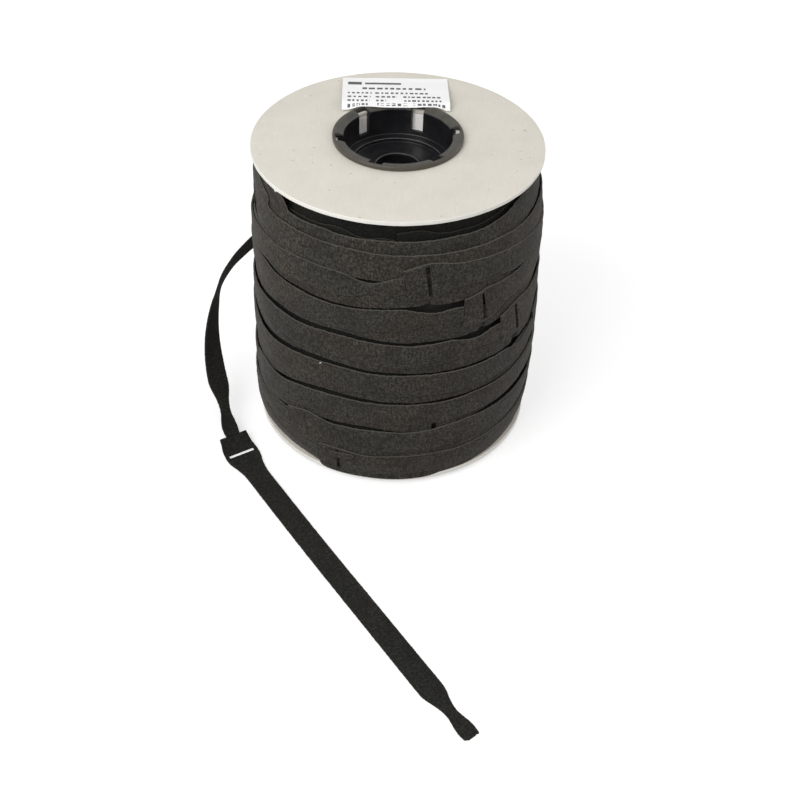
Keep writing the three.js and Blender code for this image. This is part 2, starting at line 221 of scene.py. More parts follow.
def sheet_faces(rows, columns, first=0, holes=()):
    """Faces of a closed sheet, whose grid of upper vertices comes before the grid of lower ones."""
    faces = []

    def at(i, j, lower=0):
        return first + (i + lower * rows) * columns + j

    def wall(a, b):
        faces.append((at(*b), at(*a), at(*a, 1), at(*b, 1)))

    for i in range(rows - 1):
        for j in range(columns - 1):
            if (i, j) not in holes:
                faces.append((at(i, j), at(i + 1, j), at(i + 1, j + 1), at(i, j + 1)))
                faces.append((at(i, j, 1), at(i, j + 1, 1), at(i + 1, j + 1, 1), at(i + 1, j, 1)))
    for i in range(rows - 1):
        wall((i, 0), (i + 1, 0))
        wall((i + 1, columns - 1), (i, columns - 1))
    for j in range(columns - 1):
        wall((0, j + 1), (0, j))
        wall((rows - 1, j), (rows - 1, j + 1))
    for i, j in holes:
        if (i, j - 1) not in holes:
            wall((i + 1, j), (i, j))
        if (i, j + 1) not in holes:
            wall((i, j + 1), (i + 1, j + 1))
        wall((i, j), (i, j + 1))
        wall((i + 1, j + 1), (i + 1, j))
    return faces


# Materials
class Paint:
    """A node material under construction."""

    def __init__(self, name):
        self.material = bpy.data.materials.new(name)
        self.material.use_nodes = True
        self.tree = self.material.node_tree
        self.shader = self.tree.nodes["Principled BSDF"]

    def node(self, kind, **settings):
        made = self.tree.nodes.new(kind)
        for key, value in settings.items():
            setattr(made, key, value)
        return made

    def link(self, source, target):
        self.tree.links.new(source, target)

    def vector(self, source, scale):
        made = self.node("ShaderNodeVectorMath", operation="MULTIPLY")
        self.link(source, made.inputs[0])
        made.inputs[1].default_value = scale
        return made.outputs[0]

    def place(self):
        return self.node("ShaderNodeTexCoord").outputs["Object"]

    def uv(self):
        return self.node("ShaderNodeUVMap", uv_map="strap").outputs[0]

    def attribute(self, name):
        return self.node("ShaderNodeAttribute", attribute_name=name).outputs["Fac"]

    def noise(self, vector, scale, detail=2.0, roughness=0.5, distortion=0.0):
        made = self.node("ShaderNodeTexNoise")
        made.inputs["Scale"].default_value = scale
        made.inputs["Detail"].default_value = detail
        made.inputs["Roughness"].default_value = roughness
        made.inputs["Distortion"].default_value = distortion
        self.link(vector, made.inputs["Vector"])
        return made.outputs["Fac"]

    def span(self, value, low, high, to_low=0.0, to_high=1.0):
        made = self.node("ShaderNodeMapRange", interpolation_type="SMOOTHSTEP")
        self.link(value, made.inputs["Value"])
        made.inputs["From Min"].default_value = low
        made.inputs["From Max"].default_value = high
        made.inputs["To Min"].default_value = to_low
        made.inputs["To Max"].default_value = to_high
        return made.outputs["Result"]

    def math(self, operation, a, b=None):
        made = self.node("ShaderNodeMath", operation=operation)
        for slot, value in zip(made.inputs, (a, b)):
            if value is None:
                continue
            if isinstance(value, (int, float)):
                slot.default_value = value
            else:
                self.link(value, slot)
        return made.outputs[0]

    def mix(self, factor, a, b, blend="MIX"):
        made = self.node("ShaderNodeMix", data_type="RGBA", blend_type=blend)
        sockets = [made.inputs[0], made.inputs[6], made.inputs[7]]
        for slot, value in zip(sockets, (factor, a, b)):
            if isinstance(value, (int, float, tuple)):
                slot.default_value = value
            else:
                self.link(value, slot)
        return made.outputs[2]

    def bump(self, height, distance, strength=1.0):
        made = self.node("ShaderNodeBump")
        made.inputs["Strength"].default_value = strength
        made.inputs["Distance"].default_value = distance
        self.link(height, made.inputs["Height"])
        self.link(made.outputs[0], self.shader.inputs["Normal"])

    def colour(self, source):
        self.link(source, self.shader.inputs["Base Color"])

    def rough(self, source):
        self.link(source, self.shader.inputs["Roughness"])

    def set(self, **sockets):
        for key, value in sockets.items():
            self.shader.inputs[key.replace("_", " ")].default_value = value


def radius_of(paint, place):
    flat = paint.vector(place, (1, 1, 0))
    made = paint.node("ShaderNodeVectorMath", operation="LENGTH")
    paint.link(flat, made.inputs[0])
    return made.outputs["Value"]


def cardboard_material():
    paint = Paint("cardboard")
    place = paint.place()
    fine = paint.noise(place, 1400, 3, 0.6)
    cloud = paint.noise(place, 38, 4, 0.55)
    fibre = paint.noise(paint.vector(place, (1, 0.18, 1)), 620, 3, 0.6)
    speck = paint.span(paint.noise(place, 330, 0), 0.815, 0.835)
    pale = paint.span(paint.noise(place, 210, 1), 0.75, 0.79)
    face = paint.mix(paint.span(cloud, 0.3, 0.7), srgb(216, 211, 200), srgb(223, 218, 207))
    face = paint.mix(paint.span(fine, 0.3, 0.7, 0, 0.35), face, srgb(208, 203, 192))
    face = paint.mix(paint.span(fibre, 0.42, 0.75, 0, 0.3), face, srgb(228, 224, 215))
    face = paint.mix(paint.math("MULTIPLY", speck, 0.55), face, srgb(160, 152, 138))
    face = paint.mix(paint.math("MULTIPLY", pale, 0.4), face, srgb(236, 233, 226))
    strata = paint.noise(paint.vector(place, (0.05, 0.05, 1)), 2600, 2, 0.7)
    rim = paint.mix(paint.span(strata, 0.35, 0.65), srgb(232, 229, 221), srgb(240, 238, 232))
    edge = paint.span(radius_of(paint, place), 0.09362, 0.0938)
    paint.colour(paint.mix(edge, face, rim))
    paint.set(Roughness=0.88, Specular_IOR_Level=0.3)
    height = paint.math("ADD", paint.math("MULTIPLY", fine, 0.6), paint.math("MULTIPLY", fibre, 0.6))
    paint.bump(height, 0.00012, 0.6)
    return paint.material


def core_material():
    paint = Paint("core_card")
    place = paint.place()
    fine = paint.noise(place, 900, 3)
    streak = paint.noise(paint.vector(place, (1, 1, 0.12)), 300, 3)
    colour = paint.mix(paint.span(fine, 0.3, 0.7), srgb(236, 232, 228), srgb(248, 246, 243))
    colour = paint.mix(paint.span(streak, 0.5, 0.75, 0, 0.4), colour, srgb(205, 198, 192))
    paint.colour(colour)
    paint.set(Roughness=0.8)
    paint.bump(fine, 0.0001, 0.5)
    return paint.material


def plastic_material():
    paint = Paint("black_plastic")
    place = paint.place()
    grain = paint.noise(place, 2400, 2)
    dust = paint.noise(place, 160, 5, 0.65)
    scuff = paint.noise(paint.vector(place, (1, 0.25, 1)), 420, 4, 0.6)
    split = paint.node("ShaderNodeSeparateXYZ")
    paint.link(place, split.inputs[0])
    away = paint.math("ABSOLUTE", paint.math("SUBTRACT", split.outputs["Z"], REEL_HEIGHT / 2 * MM))
    lip_face = (REEL_HEIGHT / 2 - LIP_DISH) * MM
    lip = paint.span(away, lip_face - 0.0008, lip_face - 0.0001)
    outside = paint.span(radius_of(paint, place), (LIP_RADIUS - 0.7) * MM, (LIP_RADIUS - 0.1) * MM)
    lip = paint.math("MAXIMUM", lip, outside)
    base = paint.mix(paint.span(dust, 0.35, 0.7), srgb(22, 21, 24), srgb(31, 30, 32))
    # painted highlights: the edges of the step, of the spindle's hole and of the lip's bore are painted
    # paler, where light glints on them
    edges = ((STEP_RADIUS, STEP_DEPTH, 0.5, 0.9), (SPINDLE_RADIUS + 0.5, HUB_FLOOR_DEPTH - 0.3, 0.6, 0.3),
             (LIP_BORE + 0.1, LIP_DISH + 0.6, 0.5, 0.7))
    for radius, depth, reach, most in edges:
        by_radius = paint.math("ABSOLUTE", paint.math("SUBTRACT", radius_of(paint, place), radius * MM))
        by_depth = paint.math("ABSOLUTE", paint.math("SUBTRACT", away, (REEL_HEIGHT / 2 - depth) * MM))
        painted_highlight = paint.math("MULTIPLY", paint.span(by_radius, 0.2 * reach * MM, reach * MM, 1, 0),
                          paint.span(by_depth, 0.2 * reach * MM, reach * MM, 1, 0))
        painted_highlight = paint.math("MULTIPLY", painted_highlight, paint.span(scuff, 0.3, 0.6, 0.3 * most, most))
        base = paint.mix(painted_highlight, base, srgb(112, 111, 114))
    lip_dust_and_reflection = paint.mix(paint.span(dust, 0.3, 0.72), srgb(62, 60, 54), srgb(78, 75, 68))
    lip_dust_and_reflection = paint.mix(paint.span(scuff, 0.58, 0.75, 0, 0.35), lip_dust_and_reflection, srgb(100, 97, 89))
    # painted reflection: the outer wall of the lip is tinted brown, standing for the cardboard flange
    # reflected in it
    lip_dust_and_reflection = paint.mix(paint.math("MULTIPLY", outside, 0.5), lip_dust_and_reflection, srgb(84, 74, 64))
    paint.colour(paint.mix(lip, base, lip_dust_and_reflection))
    paint.rough(paint.math("ADD", paint.span(dust, 0.3, 0.7, 0.28, 0.38), paint.math("MULTIPLY", lip, 0.08)))
    paint.set(Specular_IOR_Level=0.5)
    paint.bump(grain, 0.00003, 0.4)
    return paint.material


def paper_material():
    paint = Paint("label_paper")
    place = paint.place()
    fibre = paint.noise(place, 1500, 3)
    cloud = paint.noise(place, 60, 3)
    colour = paint.mix(paint.span(cloud, 0.3, 0.7), srgb(251, 251, 252), srgb(254, 254, 254))
    colour = paint.mix(paint.span(fibre, 0.5, 0.8, 0, 0.2), colour, srgb(244, 244, 246))
    paint.colour(colour)
    paint.set(Roughness=0.55)
    paint.bump(fibre, 0.00003, 0.5)
    return paint.material


def ink_material():
    paint = Paint("label_ink")
    place = paint.place()
    wear = paint.noise(place, 2600, 3, 0.7)
    colour = paint.mix(paint.span(wear, 0.45, 0.7), srgb(74, 73, 78), srgb(150, 148, 150))
    paint.colour(colour)
    paint.set(Roughness=0.6)
    return paint.material


def cloth_material(name, dark, light, fleck, fluff_and_edge_highlight, sheen, streaks=0.5):
    """Knitted loop cloth: ribs across the strap, heathered yarn, pale fluff, and a painted highlight along
    the cut edges.
    """
    paint = Paint(name)
    uv = paint.uv()
    tone = paint.attribute("tone")
    shift = paint.node("ShaderNodeCombineXYZ")
    paint.link(tone, shift.inputs[2])
    moved = paint.node("ShaderNodeVectorMath", operation="ADD")
    paint.link(uv, moved.inputs[0])
    paint.link(shift.outputs[0], moved.inputs[1])
    at = moved.outputs[0]
    rib = paint.noise(paint.vector(at, (1, 0.2, 1)), 900, 1, 0.5)
    heather = paint.noise(at, 560, 3, 0.8)
    loops = paint.noise(paint.vector(at, (1, 0.8, 1)), 1050, 2, 0.7)
    fluff = paint.noise(at, 950, 1, 0.5)
    cloud = paint.noise(at, 60, 3)
    colour = paint.mix(paint.span(heather, 0.36, 0.64), dark, light)
    colour = paint.mix(paint.span(rib, 0.42, 0.64, 0, 0.6), colour, dark)
    colour = paint.mix(paint.span(loops, 0.55, 0.72, 0, streaks), colour, fleck)
    colour = paint.mix(paint.span(fluff, 0.7, 0.8, 0, 0.5), colour, fluff_and_edge_highlight)
    colour = paint.mix(paint.span(loops, 0.28, 0.42, 0.5, 0), colour, srgb(20, 19, 18))
    colour = paint.mix(paint.span(cloud, 0.4, 0.7, 0, 0.4), colour, dark)
    tint = paint.noise(at, 17, 2)
    brown = paint.mix(1.0, colour, (1.09, 1.01, 0.97, 1), "MULTIPLY")
    cool = paint.mix(1.0, colour, (0.96, 0.99, 0.97, 1), "MULTIPLY")
    colour = paint.mix(paint.span(tint, 0.42, 0.6), cool, brown)
    # painted highlight: the cut edges of each strap are painted paler, standing for the light they catch
    rim = paint.span(paint.attribute("edge"), 0.955, 1.0, 0, 0.65)
    colour = paint.mix(rim, colour, fluff_and_edge_highlight)
    paint.colour(colour)
    paint.set(Roughness=0.96, Specular_IOR_Level=0.15, Sheen_Weight=sheen, Sheen_Roughness=0.5,
              Sheen_Tint=(0.95, 0.92, 0.88, 1))
    height = paint.math("ADD", paint.math("MULTIPLY", rib, 0.35), paint.math("MULTIPLY", heather, 0.9))
    paint.bump(height, 0.0004, 0.7)
    return paint.material


cardboard = cardboard_material()
core_card = core_material()
plastic = plastic_material()
paper = paper_material()
ink = ink_material()
wound_cloth = cloth_material("wound_cloth", srgb(31, 30, 27), srgb(73, 70, 64), srgb(110, 106, 98),
                             srgb(96, 93, 86), 0.13)
# painted shade: a darker copy of the wound cloth, standing in for the shade deep under the upper flange and
# in the gaps between turns
painted_shade_cloth = cloth_material("painted_shade_cloth", srgb(25, 26, 23), srgb(40, 41, 36), srgb(58, 58, 52),
                            srgb(66, 65, 59), 0.08)
loose_cloth = cloth_material("strap_cloth", srgb(18, 18, 16), srgb(47, 46, 43), srgb(76, 74, 69),
                             srgb(54, 53, 49), 0.1, 0.4)


# Cardboard and plastic
def make_flange(name, low, high, crown, seed, nick=None):
    """crown is how far the rim lies under the middle; nick is the place of a small tear, in degrees."""
    inner = SLEEVE_RADIUS + 0.9
    outer = FLANGE_RADIUS
    outline = [(inner, low), (FLANGE_FLAT, low), (outer, low - crown),
               (outer, high - crown), (FLANGE_FLAT, high), (inner, high)]
    fine = rounded(outline, (0.25, 0, 0.45, 0.45, 0, 0.25), 5)
    # extra rings on the faces, so that they can wave a little
    rows = []
    for i in range(len(fine)):
        here, then = fine[i], fine[(i + 1) % len(fine)]
        rows.append(here)
        if abs(then[0] - here[0]) > 20:
            rows.extend(here + (then - here) * t for t in np.linspace(0, 1, 14)[1:-1])
    outline = np.array(rows)

    def wobble(angle, radius, height):
        turn = angle * FLANGE_RADIUS
        share = (radius - inner) / (outer - inner)
        rise = waves(turn, 0.16, seed, 295) * share**2
        ragged = waves(turn, 0.09, seed + 1, 23) + waves(turn, 0.05, seed + 2, 5.5)
        rim = radius > outer - 0.6
        if nick is not None:
            torn = math.exp(-((math.degrees(angle) - nick) / 0.55) ** 2)
            rise = rise - np.where(rim & (height < low - crown + 1), 1.3 * torn, 0)
        return radius + np.where(rim, ragged, 0), height + rise

    verts, faces = lathe(outline, 360, wobble)
    return mesh_object(name, verts, faces, cardboard, sharp=50)


def make_core():
    outline = rounded([(CORE_BORE, CORE_LOW), (CORE_BORE + CORE_WALL, CORE_LOW),
                       (CORE_BORE + CORE_WALL, CORE_HIGH), (CORE_BORE, CORE_HIGH)], (0.3,) * 4, 3)
    verts, faces = lathe(outline, 144)
    return mesh_object("core_tube_card", verts, faces, core_card)


def hub_mesh():
    """The hub standing on its lip, with its slots and notches cut."""
    rim = (SPINDLE_RADIUS + SPINDLE_OUTSIDE) / 2
    outline = [
        (LIP_BORE, LIP_DISH), (LIP_FLAT, 0), (LIP_RADIUS, 0), (LIP_RADIUS, LIP_HEIGHT),
        (SLEEVE_RADIUS, LIP_HEIGHT), (SLEEVE_RADIUS, HUB_FLOOR_UNDERSIDE),
        (SPINDLE_OUTSIDE, HUB_FLOOR_UNDERSIDE), (SPINDLE_OUTSIDE, SPINDLE_END),
        (SPINDLE_RADIUS, SPINDLE_END), (SPINDLE_RADIUS, HUB_FLOOR_DEPTH), (rim, HUB_FLOOR_DEPTH - 0.5),
        (SPINDLE_OUTSIDE, HUB_FLOOR_DEPTH), (STEP_RADIUS, HUB_FLOOR_DEPTH), (STEP_RADIUS, STEP_DEPTH),
        (CUP_RADIUS, STEP_DEPTH), (CUP_RADIUS, LIP_HEIGHT + 1), (LIP_BORE, LIP_HEIGHT),
    ]
    radii = (0.5, 1.2, 1.0, 0.5, 0.2, 0.8, 0.5, 0.3, 0.3, 0.3, 0.3, 0.2, 0.5, 0.4, 0.9, 0.3, 0.4)
    verts, faces = lathe(rounded(outline, radii, 5), 240)
    body = mesh_object("hub_body", verts, faces, plastic)
    cutters = []
    for i in range(HUB_SLOTS):
        angle = -HUB_TURN + i * 2 * math.pi / HUB_SLOTS
        boxes = [((LIP_BORE - 3, LIP_BORE + 5.4), (-2, LIP_HEIGHT + 1), HUB_NOTCH_HALF),
                 ((CUP_RADIUS - 2, SLEEVE_RADIUS + 2), (LIP_HEIGHT, HUB_SLOT_END), HUB_SLOT_HALF)]
        for (near, far), (low, high), half in boxes:
            corners = [(radius * math.cos(angle) - side * math.sin(angle),
                        radius * math.sin(angle) + side * math.cos(angle), height)
                       for radius in (near, far) for side in (-half, half) for height in (low, high)]
            quads = [(0, 1, 3, 2), (4, 6, 7, 5), (0, 4, 5, 1), (2, 3, 7, 6), (0, 2, 6, 4), (1, 5, 7, 3)]
            cutters.append(mesh_object("cutter", corners, quads, plastic))
    for cutter in cutters:
        cut = body.modifiers.new("cut", "BOOLEAN")
        cut.operation = "DIFFERENCE"
        cut.solver = "EXACT"
        cut.object = cutter
    soften = body.modifiers.new("soften", "BEVEL")
    soften.width = 0.0004
    soften.segments = 2
    soften.limit_method = "ANGLE"
    soften.angle_limit = math.radians(40)
    shape = bpy.data.meshes.new_from_object(body.evaluated_get(bpy.context.evaluated_depsgraph_get()))
    for unused in [body, *cutters]:
        bpy.data.objects.remove(unused)
    return shape


def make_hubs():
    shape = hub_mesh()
    made = []
    for name, upper in (("bottom_hub_plastic", False), ("top_hub_plastic", True)):
        mesh = shape.copy()
        if upper:
            flip = Matrix.Rotation(math.pi, 4, "X")
            mesh.transform(Matrix.Translation((0, 0, REEL_HEIGHT * MM)) @ flip)
        mesh.polygons.foreach_set("use_smooth", [True] * len(mesh.polygons))
        mesh.set_sharp_from_angle(angle=math.radians(35))
        made.append(add_object(name, mesh))
    return made


top_face = REEL_HEIGHT - FLANGE_SEAT
bottom_flange = make_flange("bottom_flange_card", FLANGE_SEAT, FLANGE_TOP, 0, 3)
top_flange = make_flange("top_flange_card", top_face - FLANGE_THICKNESS, top_face, FLANGE_CROWN, 8, nick=218)
core = make_core()
bottom_hub, top_hub = make_hubs()
for piece, node, slot in ((bottom_flange, "bottom_flange", "cardboard"),
                          (top_flange, "top_flange", "cardboard"),
                          (core, "core_tube", "core_card"),
                          (bottom_hub, "bottom_hub", "black_plastic"),
                          (top_hub, "top_hub", "black_plastic")):
    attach(piece, "reel")
    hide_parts(node)


# Label
LABEL_WIDTH, LABEL_HEIGHT = 71, 49.6
LABEL_X, LABEL_Y = -1.8, 33.5
LABEL_TURN = math.radians(1.4)
LABEL_THICKNESS = 0.13
LABEL_SEAT = 0.28         # over the flange's flat middle
LABEL_ON_LIP = LIP_HEIGHT + 0.65
LABEL_SAG = 0.55          # over the dish of the lip
CORNER_DROOP = 2.6
CORNER_CURL = 0.35
FAR_CORNER_LIFT = 0.3
FAR_EDGE_DROP = 2.2       # of its far edge under the flange's flat middle


def smooth(x):
    x = np.clip(x, 0, 1)
    return x * x * (3 - 2 * x)


def label_place(across, up):
    """Place on the flange, for places in the label's own frame."""
    return (LABEL_X + across * math.cos(LABEL_TURN) - up * math.sin(LABEL_TURN),
            LABEL_Y + across * math.sin(LABEL_TURN) + up * math.cos(LABEL_TURN))


def label_height(across, up):
    """Height over the flange of the stiff paper, which is propped up by the lip."""
    x, y = label_place(across, up)
    from_axis = np.hypot(x, y)
    outward = np.clip((from_axis - FLANGE_FLAT) / (FLANGE_RADIUS - FLANGE_FLAT), 0, 1)
    flange = LABEL_SEAT - FLANGE_CROWN * outward
    past_lip = y - LIP_RADIUS + 0.5
    past_lip = (past_lip + np.sqrt(past_lip**2 + 4)) / 2
    share = np.clip(past_lip / (LABEL_Y + LABEL_HEIGHT - LIP_RADIUS), 0, 1)
    height = np.maximum(LABEL_ON_LIP * (1 - share) - FAR_EDGE_DROP * share, flange)
    height = height - LABEL_SAG * smooth((LIP_FLAT - from_axis) / 4.5)
    right = smooth((across - 24.5) / 11) * smooth((7 - up) / 7)
    left = smooth((-across - 22) / 11) * smooth((7 - up) / 7)
    far = np.clip((up - 40) / 6, 0, 1) * np.clip((abs(across) - 26) / 9, 0, 1)
    height = height - CORNER_DROOP * right - CORNER_DROOP * left + FAR_CORNER_LIFT * far
    curl = (CORNER_CURL * np.sin(across * 1.1) * np.clip((across - 26) / 9, 0, 1)
            * np.clip((3 - up) / 3, 0, 1))
    return height + curl + waves(across + 0.5 * up, 0.04, 5, 31)


def label_point(across, up, lift=0.0):
    return np.stack([*label_place(across, up), top_face + label_height(across, up) + lift], -1)


def make_label():
    columns, rows = 72, 60
    across, up = np.meshgrid(np.linspace(-LABEL_WIDTH / 2, LABEL_WIDTH / 2, columns),
                             np.linspace(0, LABEL_HEIGHT, rows), indexing="ij")
    verts = [label_point(across, up, lift).reshape(-1, 3) for lift in (0, -LABEL_THICKNESS)]
    return mesh_object("label_paper_sheet", np.concatenate(verts), sheet_faces(columns, rows), paper,
                       sharp=60)


def make_marks():
    """Generic print: two bars, a heading and rows of short dashes, with no letters."""
    marks = []

    def dashes(start, end, up, height, longest, seed):
        random = np.random.default_rng(seed)
        at = start
        while at < end:
            wide = min(random.uniform(0.45, 1) * longest, end - at)
            marks.append((at, up, wide, height * random.uniform(0.85, 1)))
            at += wide + random.uniform(0.3, 0.55) * height
    marks.append((-31.8, 37.4, 9.2, 5.2))
    marks.append((-20.4, 38.2, 24.3, 3.3))
    dashes(-22.1, 20.1, 28.8, 3.5, 4.2, 1)
    # place up the label, then the start and end of each run of dashes
    rows = ((20.5, (-31.8, -15.9), (-13.6, 22.7)), (13.6, (-31.8, -16.6), (-13.3, 0.6), (4.9, 29.5)),
            (7.0, (-31.8, -17.5), (-13, -6.5), (5.5, 29.9)), (1.7, (-31.8, -18.5), (-12.3, 7.5), (11, 33)))
    for n, (low, *runs) in enumerate(rows):
        for k, (start, end) in enumerate(runs):
            dashes(start, end, low, 2.9, 2.6, 10 * n + k + 3)
    verts, faces = [], []
    for left, low, wide, high in marks:
        steps = max(2, int(wide / 1.5) + 1)
        across = np.linspace(left, left + wide, steps)
        first = len(verts)
        for up in (low, low + high):
            verts.extend(label_point(across, np.full(steps, up), 0.035).tolist())
        for i in range(steps - 1):
            faces.append((first + i, first + i + 1, first + steps + i + 1, first + steps + i))
    return mesh_object("label_print", verts, faces, ink)


label = make_label()
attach(label, "reel")
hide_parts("label")
marks = make_marks()
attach(marks, "reel")


# Straps
def width_share(share):
    return np.interp(share, [p[0] for p in OUTLINE], [p[1] for p in OUTLINE])


# Places across a strap as shares of its half width, and how far its pile drops there in millimetres
ACROSS = np.array([-1, -0.985, -0.93, -0.85, -0.78, -0.5, -0.2, 0.2, 0.5, 0.78, 0.85, 0.93, 0.985, 1])
DROP = np.array([0.34, 0.12, 0.03, 0, 0, 0, 0, 0, 0, 0, 0, 0.03, 0.12, 0.34])


class Straps:
    """Collects the closed meshes of several straps."""

    def __init__(self):
        self.verts, self.faces, self.uv, self.edge, self.tone = [], [], [], [], []

    def add(self, point, start, end, length, width, tone, slot=None, thickness=STRAP_THICKNESS,
            step=2.0, ragged=0.12, seed=0, tip=0.0, shares=width_share):
        """A strap whose places point(s, w, h) gives.

        slot is its distance and width, and where its two ends lie as shares of the half width.
        """
        random = np.random.default_rng(seed + 100)
        stations = set(np.round(np.linspace(start, end, max(3, int((end - start) / step) + 1)), 3))
        if slot is not None:
            near, far = slot[0] - slot[1] / 2, slot[0] + slot[1] / 2
            stations = {s for s in stations if not near - 0.4 < s < far + 0.4} | {near, far}
        stations = np.array(sorted(stations))
        half = width * shares(stations / length) / 2
        half = half[:, None] + random.normal(0, ragged, (len(stations), 2))
        count = len(ACROSS)
        first = len(self.verts)
        side = np.where(ACROSS < 0, half[:, :1], half[:, 1:])
        w = side * ACROSS[None, :]
        s = np.repeat(stations[:, None], count, 1)
        if tip:
            near_end = np.clip((s - (end - 6)) / 6, 0, 1)
            torn = random.normal(0, 0.3, count)
            s = s + near_end * (tip * (np.cos(ACROSS * 1.35) - 0.55) + torn)[None, :]
        pile = thickness / 2
        top = point(s, w, pile - DROP[None, :])
        under = point(s, w, -pile + 0.5 * DROP[None, :])
        self.verts.extend(top.reshape(-1, 3).tolist())
        self.verts.extend(under.reshape(-1, 3).tolist())
        uv = np.stack([s * MM, w * MM], -1).reshape(-1, 2)
        self.uv.extend(uv.tolist() * 2)
        rim = np.repeat(np.abs(ACROSS)[None, :], len(stations), 0)
        self.edge.extend(rim.ravel().tolist())
        self.edge.extend(np.where(rim > 0.9, 1, rim).ravel().tolist())
        self.tone.extend([tone] * (2 * len(stations) * count))
        holes = set()
        if slot is not None:
            i = int(np.searchsorted(stations, near + 1e-6)) - 1
            for j in range(count - 1):
                if ACROSS[j] >= -slot[2] - 1e-6 and ACROSS[j + 1] <= slot[3] + 1e-6:
                    holes.add((i, j))
        self.faces.extend(sheet_faces(len(stations), count, first, holes))

    def piece(self, name, material):
        return mesh_object(name, self.verts, self.faces, material, self.uv, self.edge, self.tone, 55)


# Outer radius of the winding: height, radius. It bulges out past the lower flange's edge.
WINDING_PROFILE = [
    (6, 95.2), (14, 96.7), (25, 97.4), (36, 97.4), (50, 97), (70, 96.7), (90, 96.6), (110, 96.2), (132, 95.7),
    (150, 95.9), (162, 95.5), (176, 95), (190, 94.3), (207, 93.4),
]
WOUND_ARC = 95.5          # radius at which the wound straps' length is measured
WOUND_WIDTH = 25.6
OVER_RIM = FLANGE_RADIUS + 1
UP = 1.016                # heights below were read off at a slightly smaller scale

# Middle line of the outermost chain, turn by turn: degrees, height. The front is read off the
# photograph; the back goes on in the same way.
CHAIN = [
    (15, 24), (57, 25.5), (90, 26.5), (150, 29), (210, 33.3), (225, 35.2), (236, 37.4), (247, 38.6),
    (262, 39.1), (275, 38.7), (288, 39.5), (296, 41), (310, 41.4), (325, 42.2), (337, 44.5), (400, 50),
    (480, 53), (545, 54), (560, 54.8), (570, 56), (580, 57.9), (591, 60.3), (602, 62.4), (615, 62.6),
    (630, 61.8), (645, 61.2), (664, 61.9), (681, 63), (697, 68), (760, 74), (850, 80.5), (905, 85.5),
    (920, 86.5), (932, 86), (945, 86.2), (957, 86.9), (968, 87.3), (982, 86), (996, 85.5), (1010, 84.5),
    (1029, 84.2), (1044, 86), (1061, 90.5), (1075, 95), (1130, 101), (1220, 106), (1280, 110.5),
    (1301, 112.2), (1312, 111.2), (1322, 111.6), (1330, 111.8), (1338, 110.8), (1346, 109.5),
    (1355, 108.6), (1364, 108.8), (1378, 109.6), (1393, 111), (1405, 114.2), (1415, 118), (1480, 124),
    (1570, 130), (1625, 138), (1638, 140.6), (1645, 140.6), (1653, 139), (1661, 137), (1672, 135.6),
    (1682, 134.5), (1695, 134.7), (1706, 136), (1715, 136.8), (1723, 137), (1731, 136), (1738, 136),
    (1746.5, 136.8), (1752, 139.2), (1758, 141.3), (1766, 143), (1775, 144.4), (1787, 146.5),
    (1850, 150), (1940, 153.4), (1996, 156), (2011, 158.6), (2021, 158.6), (2032, 159.3), (2045, 159.5),
    (2055, 158.7), (2066, 160), (2074, 162.2), (2083, 164.4), (2091, 165.8), (2098, 165.3),
    (2106, 164.3), (2116, 163), (2130, 160.6), (2142, 158.8), (2190, 157), (2238.5, 155),
]
CHAIN_HEADS = [57.7, 225, 392.3, 559.6, 726.9, 894.2, 1061.5, 1228.8, 1396, 1567, 1737.5, 1906, 2074, 2238.5]
# How far the layer below stays clear of the turn under it, where the dark gaps are: degrees, gap.
GAPS = [
    (15, 0), (575, 0), (590, 0.5), (605, 1), (628, 0.2), (637, -2.4), (657, -2.4), (668, 0), (880, 0),
    (915, 0.5), (935, 1.3), (960, 1.8), (975, 1), (1000, 0.2), (1100, 0), (1270, 0.4), (1290, 1.5),
    (1310, 2.1), (1328, 1.6), (1345, 0.5), (1370, 0), (1600, 0.3), (1640, 1.2), (1665, 1.9), (1690, 2),
    (1705, 1.2), (1722, 0.3), (1740, -0.6), (1755, -0.3), (1775, 0), (1950, 0), (2000, 0.6), (2020, 0.4),
    (2045, 0), (2072, 0), (2084, 0.5), (2092, 0.4), (2102, 0), (2400, 0),
]


def winding_radius(height):
    return through(WINDING_PROFILE, height)


def uneven(degrees, height):
    """The winding stands out more on its right side, and less at its right foot."""
    away = (degrees + 180) % 360 - 180
    right = through([(0, 0), (40, 0.2), (60, 0.8), (150, 0.8), (166, 1.2), (180, 1.1), (192, 0.2),
                     (210, 0)], height)
    foot = through([(0, -2.4), (14, -2.2), (26, -1.2), (40, 0), (210, 0)], height)
    left_foot = through([(0, -2.4), (8, -2.3), (16, -0.8), (24, 0), (210, 0)], height)
    return (right * np.exp(-(away / 38) ** 2) + foot * np.exp(-((away + 28) / 24) ** 2)
            + left_foot * np.exp(-((away + 143) / 17) ** 2))


def wound(centre, offset, lean, seed, low=None):
    """A point function on the winding: centre(degrees) is the middle height, low(degrees) the least."""
    def point(s, w, h, start):
        degrees = start + np.degrees(s / WOUND_ARC)
        middle = centre(degrees)
        rise = (centre(degrees + 1) - centre(degrees - 1)) / (math.radians(2) * WOUND_ARC)
        height = middle + w + waves(degrees, 0.25, seed, 47)
        height = np.clip(height, (low(degrees) if low else WINDING_LOW) + 0.02 * w, WINDING_HIGH)
        deep = offset(degrees, w) if callable(offset) else offset
        radius = (winding_radius(height) - STRAP_THICKNESS / 2 + deep + h + lean * (w / 9.5)
                  + uneven(degrees, height) + waves(degrees + 3 * w, 0.22, seed + 1, 31))
        if low:
            # the lowest cloth flares out where it laps over the lower flange's rim
            over = smooth((8.5 - height) / 3) * smooth((6.3 - low(degrees)) / 0.8)
            radius = radius + over * np.maximum(0, OVER_RIM - radius)
        angle = np.radians(degrees) - rise * w / WOUND_ARC
        return np.stack([radius * np.cos(angle), radius * np.sin(angle), height], -1)
    return point


